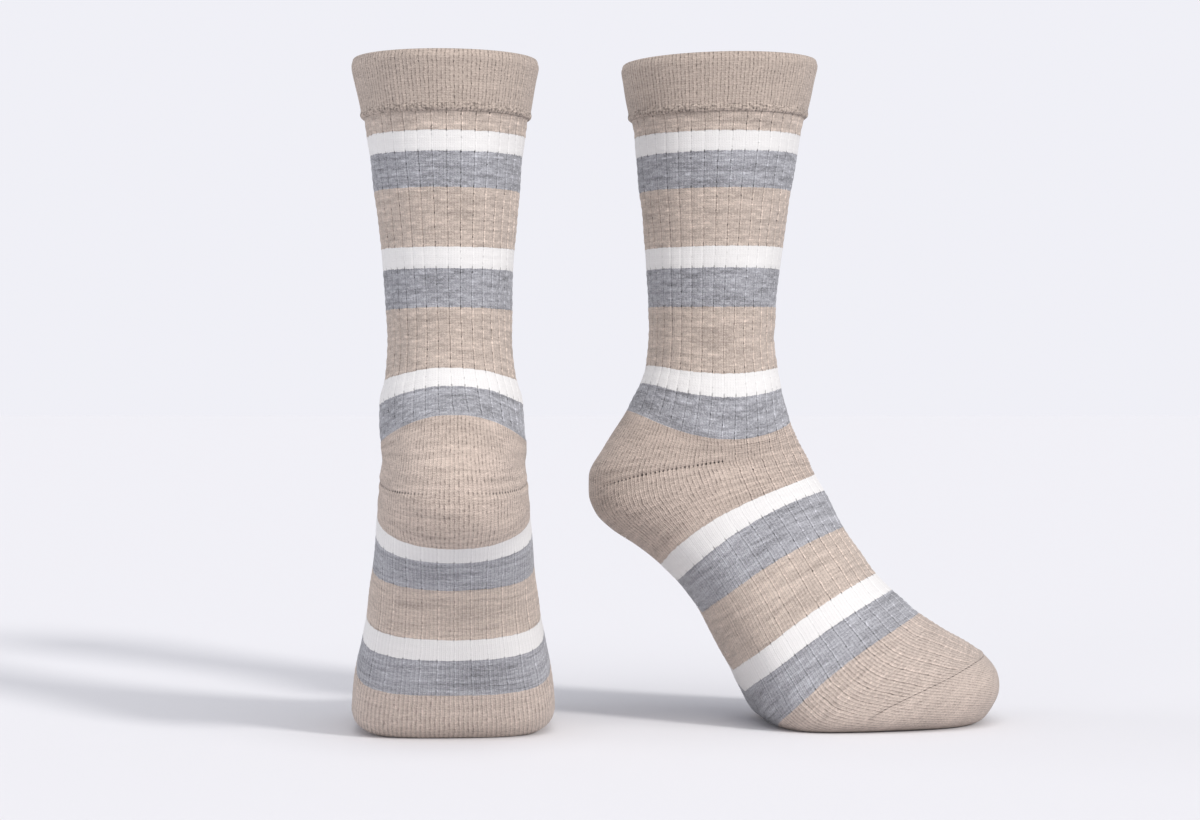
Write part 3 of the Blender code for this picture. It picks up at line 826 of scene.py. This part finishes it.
def makeCuff(side, sock, finish, seed):
    first, last = stationOf("rim"), stationOf("cuffEnd")
    columns = cuff["columns"]
    turns = np.arange(columns) / columns
    stations = spacedStations(first, last, cuff["pitch"])
    stations = np.unique(np.concatenate([stations, last - cuff["rollRows"]]))
    rings, normals = formWithNormals(sock, stations, turns)
    cut = flatCut(rings)
    fine = np.abs(np.sin(math.pi * turns * cuff["fineRibs"])) ** 0.7
    chance = np.random.default_rng(seed)
    strength = chance.uniform(*cuff["strength"], cuff["fineRibs"])
    strength = strength[(turns * cuff["fineRibs"]).astype(int)]
    relief = cuff["proud"] - cuff["fineDepth"] * (1.0 - fine[None, :]) * strength[None, :]
    relief = relief + unevenHand(turns, stations, seed, cuff["uneven"])
    below = last - stations
    along = cuff["loops"] * turns[None, :] + below[:, None] / cuff["loopPitch"]
    loops = np.cos(2.0 * math.pi * along)
    hem = bellAt(below, cuff["hemAt"], cuff["hemWidth"])[:, None]
    relief = relief + hem * (cuff["hemSwell"] + cuff["loopHeight"] * loops)
    rollIn = np.sqrt(np.clip(1.0 - (1.0 - np.clip(below / cuff["roll"], 0.0, 1.0)) ** 2, 0.0, 1.0))
    relief = cuff["rollEnd"] + (relief - cuff["rollEnd"]) * rollIn[:, None]
    rounding = np.clip(1.0 - (stations - first) / cuff["shoulder"], 0.0, 1.0)
    relief = relief - cuff["drawIn"] * (1.0 - np.sqrt(1.0 - 0.98 * rounding**2))[:, None]
    # the fold goes over the rim in a half circle, from the outer face to the inner one
    rim = relief[0][:, None]
    fold = foldOver(rings[0], normals[0], rim, cuff["foldAngles"], 1)
    points = np.concatenate([fold, rings + normals * relief[..., None]])
    outer = skinOf(points, turns, np.concatenate([first + cuff["foldStations"], stations]), 1.0)
    stations = spacedStations(first, last, cuff["pitchInside"])
    rings, normals = formWithNormals(sock, stations, turns[::2])
    fold = foldOver(rings[0], normals[0], rim[::2], cuff["foldAnglesInside"], -1)
    points = np.concatenate([fold, rings - normals * cuff["wall"]])
    inner = skinOf(points, turns[::2], np.concatenate([first + cuff["foldStations"], stations]), 0.0)
    dressPiece(side, "cuff", "cuff_yarn", sock, (outer, inner), finish, cut)


def makeTube(side, part, outerSkin, details, sock, finish, seed):
    first, last = (stationOf(row) for row in details["rows"])
    stations = spacedStations(first, last, details["pitch"], details.get("through", ()))
    rings, normals = formWithNormals(sock, stations, ribTurns)
    outer = outerSkin(rings, normals, stations, unevenHand(ribTurns, stations, seed, details["uneven"]))
    skins = outer, liningSkin(sock, first, last, details)
    restsOn = [side + "_" + below for below in details["restsOn"]]
    dressPiece(side, part, details["slot"], sock, skins, finish, flatCut(rings), details.get("tips"))


leg = {
    "rows": ("cuffEnd", "heelTop"), "slot": "striped_rib", "restsOn": ["heel"],
    "wall": 1.8, "pitch": 0.9, "pitchInside": 2.7, "columnsInside": 120, "uneven": 0.30,
    "plainFade": 2.5,  # the ribs stop over this height above the heel
}
legStripes = [
    ("cuffEnd", "beige"), ("white1", "white"), ("grey1", "grey"), ("beige2", "beige"), ("white2", "white"),
    ("grey2", "grey"), ("beige3", "beige"), ("white3", "white"), ("grey3", "grey"),
]


def legSkin(rings, normals, stations, hand):
    last = stations[-1]
    plain = smoothStep(stations, last - leg["plainFade"], last)[:, None]
    rib = 1.0 - plain * (1.0 - overInstep)
    relief = ribRelief(stations) * rib * stripeFullness(stations, legStripes) + hand
    relief += creaseRelief(stations, ankleCreases)
    return skinOf(rings + normals * relief[..., None], ribTurns, stations, rib)


heel = {
    "rows": ("heelTop", "footTop"), "slot": "heel_yarn", "restsOn": ["foot"],
    "wall": 2.0, "pitch": 0.75, "pitchInside": 2.2, "columnsInside": 120, "uneven": 0.25,
    "through": (stationOf("gore"),),
    "goreWidth": 1.1,
    "goreDepth": 0.4,
    "lip": 0.4,  # share of the gore's depth that stands up on both sides of it
    "lipAway": 2.2,
    "goreBack": 0.10,  # share of the gore that shows at the middle of the heel
    "goreGrows": (0.02, 0.09),  # turns from there over which it comes to show in full
    "goreStops": (0.250, 0.256),
}


def heelSkin(rings, normals, stations, hand):
    first, last = stations[0], stations[-1]
    down = runDown(rings)
    goreRow = int(np.argmin(np.abs(stations - stationOf("gore"))))
    # the courses run down from the leg to the gore, and up from the foot to it
    fromFoot = last - (down[-1] - down)
    upper, lower = first + down[:-1], first + down[1:]
    upper[goreRow:], lower[goreRow:] = fromFoot[goreRow:-1], fromFoot[goreRow + 1:]
    fromGore = down - down[goreRow]
    back = heel["goreBack"]
    show = back + (1.0 - back) * smoothStep(ribFolded, *heel["goreGrows"])
    show = (show * (1.0 - smoothStep(ribFolded, *heel["goreStops"])))[None, :]
    groove = bellAt(fromGore, 0.0, heel["goreWidth"])
    groove = groove - heel["lip"] * bellAt(np.abs(fromGore), heel["lipAway"], 1.0)
    relief = ribRelief(stations) * overInstep + hand - heel["goreDepth"] * groove * show
    points = rings + normals * relief[..., None]
    return skinOf(points, ribTurns, stations, overInstep, courses=(upper, lower),
                  seamAway=fromGore, seamShow=np.broadcast_to(show, fromGore.shape))


foot = {
    "rows": ("footTop", "toeTop"), "slot": "striped_rib", "restsOn": ["toe"],
    "wall": 2.6, "pitch": 0.85, "pitchInside": 2.5, "columnsInside": 120, "uneven": 0.25,
    "heelFade": 2.0,  # the heel's and toe's plain knit gives way to ribs over these lengths
    "toeFade": 3.0,
}
footStripes = [
    ("footTop", "white"), ("grey4", "grey"), ("beige5", "beige"), ("white5", "white"), ("grey5", "grey"),
    ("toeTop", "toe"),
]


def footSkin(rings, normals, stations, hand):
    first, last = stations[0], stations[-1]
    fromHeel = 1.0 - smoothStep(stations, first, first + foot["heelFade"])[:, None]
    intoToe = smoothStep(stations, last - foot["toeFade"], last)[:, None]
    under = smoothStep(0.5 + 0.5 * np.cos(2.0 * math.pi * ribTurns), 0.0, 1.0)[None, :]
    rib = 1.0 - (1.0 - ribKnit["underFoot"]) * under  # the foot presses its ribs flatter
    rib = rib * (1.0 - fromHeel) + overInstep * fromHeel
    rib = rib * (1.0 - intoToe) + toeRibs(stations * 0.0) * intoToe
    relief = ribRelief(stations) * rib * stripeFullness(stations, footStripes) + hand
    return skinOf(rings + normals * relief[..., None], ribTurns, stations, np.sqrt(rib))


toe = {
    "rows": ("toeTop", "tip"), "slot": "toe_yarn", "restsOn": [],
    "wall": 2.6, "pitch": 0.85, "pitchInside": 2.5, "columnsInside": 120, "uneven": 0.25,
    "tips": (tipPoint, (tipPoint[0] - 2.6, 0.0, tipPoint[2] + 0.65)),  # outside, and a wall further in
    "shut": 3.0,  # the relief ends over this length before the tip
    "capRings": 7,
    "capLength": 14.0,
    "seamTop": stationOf("toeEnd") - 10.0,  # where the linked seam crosses the top
    "seamSide": stationOf("toes") - 13.0,  # and where it runs at the sole's edge
    "seamBends": (0.16, 0.48),  # turns over which it gets from one to the other
    "seamShows": (0.18, 0.20),
    "plainFrom": (-2.5, -0.8),  # the ribs end over this stretch before the seam
    "seamHeight": 0.5,
    "seamWidth": 0.8,
    "cords": 144,  # stitches along the seam
    "cordDepth": 0.25,
    "holesAway": 0.9,  # its holes lie this far past the ridge
}


def toeSkin(rings, normals, stations, hand):
    first, last = stations[0], stations[-1]
    side, top = toe["seamSide"], toe["seamTop"]
    seamLine = side + (top - side) * smoothStep(ribFolded, *toe["seamBends"])
    seamShow = smoothStep(ribFolded, *toe["seamShows"])[None, :]
    down = runDown(rings)
    seamDown = [np.interp(line, stations, column) for line, column in zip(seamLine, down.T)]
    away = down - np.array(seamDown)[None, :]
    rib = toeRibs(stations - first) * (1.0 - smoothStep(away, *toe["plainFrom"]))
    ridge = bellAt(away, 0.0, toe["seamWidth"]) * seamShow
    cord = np.cos(2.0 * math.pi * ribTurns * toe["cords"])
    cord = 1.0 - toe["cordDepth"] + toe["cordDepth"] * cord
    relief = ribRelief(stations) * rib + hand + toe["seamHeight"] * ridge * cord[None, :]
    relief = relief * (1.0 - smoothStep(stations, last - toe["shut"], last)[:, None])
    points = rings + normals * relief[..., None]
    # the cap closes the last ring to the tip
    ring, tip = points[-1], np.array(tipPoint)
    centre = ring.mean(axis=0)
    shares = (np.arange(toe["capRings"]) + 1.0) / (toe["capRings"] + 1.0)
    cap = [centre + (ring - centre) * (1 - t) + (tip - centre) * (1 - (1 - t) ** 2) for t in shares]
    pad = np.zeros((len(shares), len(ribTurns)))
    return skinOf(
        np.concatenate([points, cap]), ribTurns,
        np.concatenate([stations, last + toe["capLength"] * shares]), np.concatenate([rib, pad]),
        seamAway=np.concatenate([away - toe["holesAway"], pad + noSeam]),
        seamShow=np.concatenate([np.broadcast_to(seamShow, away.shape), pad]),
    )


def stripesFrom(rows, lag=0.5):  # the yarn changes this far past each row
    return [(stationOf(row) + lag, yarn) for row, yarn in rows]


insideStripes = {
    "cuff": [(0.0, "cuff")], "leg": stripesFrom(legStripes), "heel": [(0.0, "heel")],
    "foot": stripesFrom(footStripes), "toe": [(0.0, "toe")],
}
outsideStripes = {  # the heel's and toe's yarn reaches a little past their own pieces
    **insideStripes,
    "leg": stripesFrom(legStripes) + stripesFrom([("heelTop", "heel")], -0.5),
    "foot": stripesFrom([("footTop", "heel")], -5.0) + stripesFrom(footStripes[:-1])
    + stripesFrom([("toeTop", "toe")], -0.6),
}
finishOf = {
    "cuff": ("cuffRib", cuffFinish), "leg": ("legRib", ribFinish), "heel": ("heelKnit", plainFinish),
    "foot": ("footRib", footFinish), "toe": ("toeKnit", toeFinish),
}
finishes = {
    part: (knitMaterial(name, outsideStripes[part], finish),
           knitMaterial(part + "Inside", insideStripes[part], finish, inside=True))
    for part, (name, finish) in finishOf.items()
}
tubes = {
    "leg": (legSkin, leg), "heel": (heelSkin, heel),
    "foot": (footSkin, foot), "toe": (toeSkin, toe),
}
for number, (side, sock) in enumerate(pair.items()):
    print("knitting the", side, "sock")
    seed = 40 * number + 3  # the pieces' seeds count up from here
    makeCuff(side, sock, finishes["cuff"], seed)
    for part, (outerSkin, details) in tubes.items():
        seed += 1
        makeTube(side, part, outerSkin, details, sock, finishes[part], seed)


studio = {
    "floorSize": 60.0,
    "floorHeight": -0.0002,  # just under the soles
    "floorRoughness": 0.9,
    "floorColour": (0.78, 0.775, 0.80, 1.0),
    "skyShown": (0.87, 0.87, 0.925, 1.0),  # what the camera sees beyond the floor
    "skyLight": ((0.90, 0.92, 1.0, 1.0), 0.50),  # colour and strength of the light from all round
    # name: turn to the right of the camera, height in degrees, strength, softness in degrees, colour
    "lights": {
        "keyLight": (46.0, 28.0, 2.0, 9.0, (1.0, 0.98, 0.95)),
        "topLight": (12.0, 58.0, 1.2, 50.0, (1.0, 0.99, 0.98)),
        "fillLight": (-88.0, 7.0, 1.0, 40.0, (0.98, 0.985, 1.0)),
        "lowLight": (-38.0, 2.0, 0.50, 24.0, (1.0, 0.99, 0.98)),
    },
}


def makeFloor(setup):
    half = setup["floorSize"] / 2
    corners = [(-half, -half, 0.0), (half, -half, 0.0), (half, half, 0.0), (-half, half, 0.0)]
    mesh = bpy.data.meshes.new("floor")
    mesh.from_pydata(corners, [], [(0, 1, 2, 3)])
    floor = putObject("floor", mesh)
    floor.location = (0.0, 0.0, setup["floorHeight"])
    material, shader = startMaterial("palePaper")[:2]
    shader.inputs["Base Color"].default_value = setup["floorColour"]
    shader.inputs["Roughness"].default_value = setup["floorRoughness"]
    shader.inputs["Specular IOR Level"].default_value = 0.0
    mesh.materials.append(material)


def makeLights(setup):
    for name, (turn, height, strength, softness, colour) in setup["lights"].items():
        data = bpy.data.lights.new(name, "SUN")
        data.energy = strength
        data.angle = math.radians(softness)
        data.color = colour
        light = putObject(name, data)
        light.rotation_euler = (math.radians(90.0 - height), 0.0, math.radians(turn))


def makeSky(setup):
    world = bpy.data.worlds.new("studio")
    world.use_nodes = True
    nodes, links = world.node_tree.nodes, world.node_tree.links
    shown = nodes["Background"]
    shown.inputs[0].default_value = setup["skyShown"]
    lighting = nodes.new("ShaderNodeBackground")
    lighting.inputs[0].default_value, lighting.inputs[1].default_value = setup["skyLight"]
    choose = nodes.new("ShaderNodeMixShader")
    links.new(nodes.new("ShaderNodeLightPath").outputs["Is Camera Ray"], choose.inputs[0])
    links.new(lighting.outputs[0], choose.inputs[1])
    links.new(shown.outputs[0], choose.inputs[2])
    links.new(choose.outputs[0], nodes["World Output"].inputs[0])
    bpy.context.scene.world = world


makeFloor(studio)
makeLights(studio)
makeSky(studio)
print("floor and light set")
